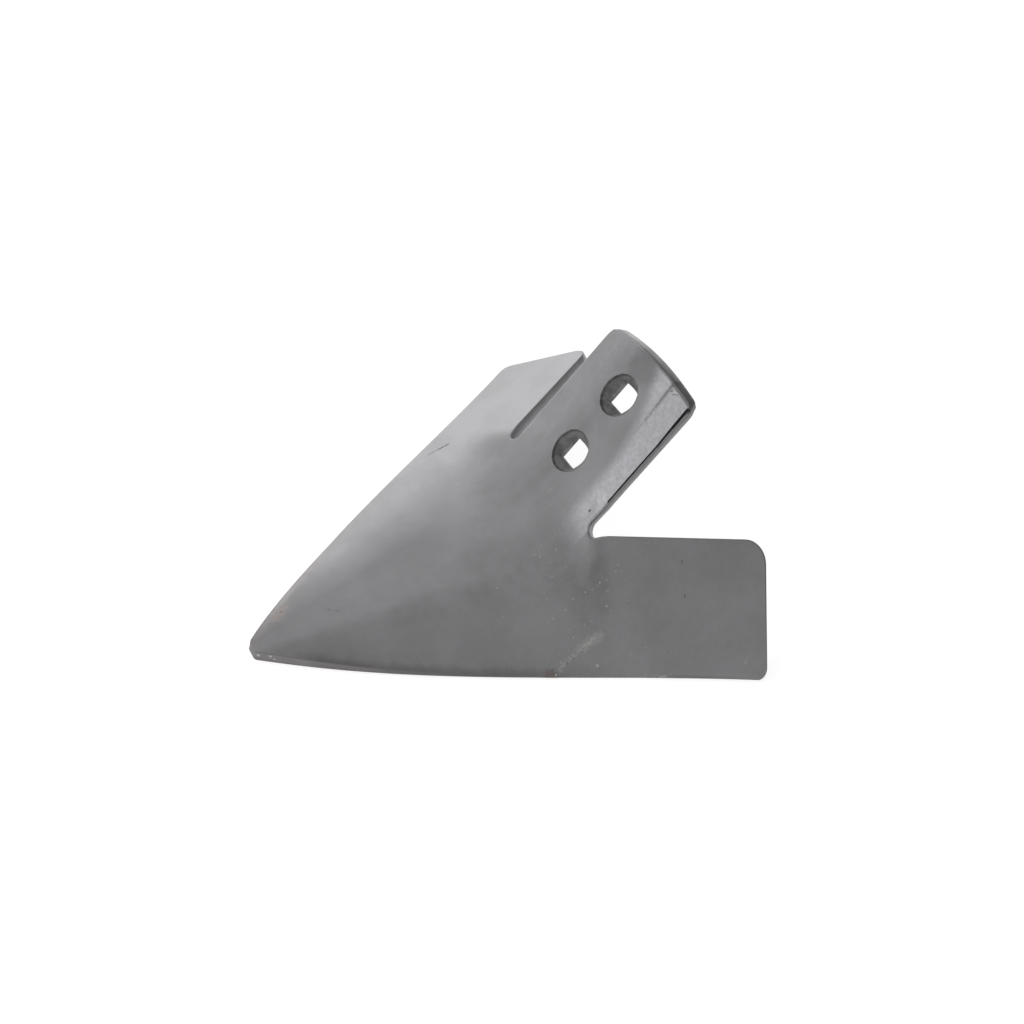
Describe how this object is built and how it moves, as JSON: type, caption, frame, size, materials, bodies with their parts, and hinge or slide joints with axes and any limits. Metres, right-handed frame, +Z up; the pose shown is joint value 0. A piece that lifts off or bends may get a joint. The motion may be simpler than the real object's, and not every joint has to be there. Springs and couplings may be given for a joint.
{
  "type": "cultivator sweep",
  "caption": "Pressed steel cultivator sweep: pointed nose, swept wings with sharpened lower edges, and an inclined arched stem with countersunk square holes for bolting to a shank.",
  "frame": {"origin": "middle of the part's length and width, on the plane of the cutting edges", "axes": "+X from the nose to the rear, +Y across the wings, +Z up from the cutting edges"},
  "size_m": [0.2848, 0.3156, 0.1202],
  "materials": {
    "painted_steel": "semi-gloss dark grey paint with scuffs and small chips"
  },
  "bodies": {
    "root": {"sweep": "painted_steel"}
  },
  "joints": []
}
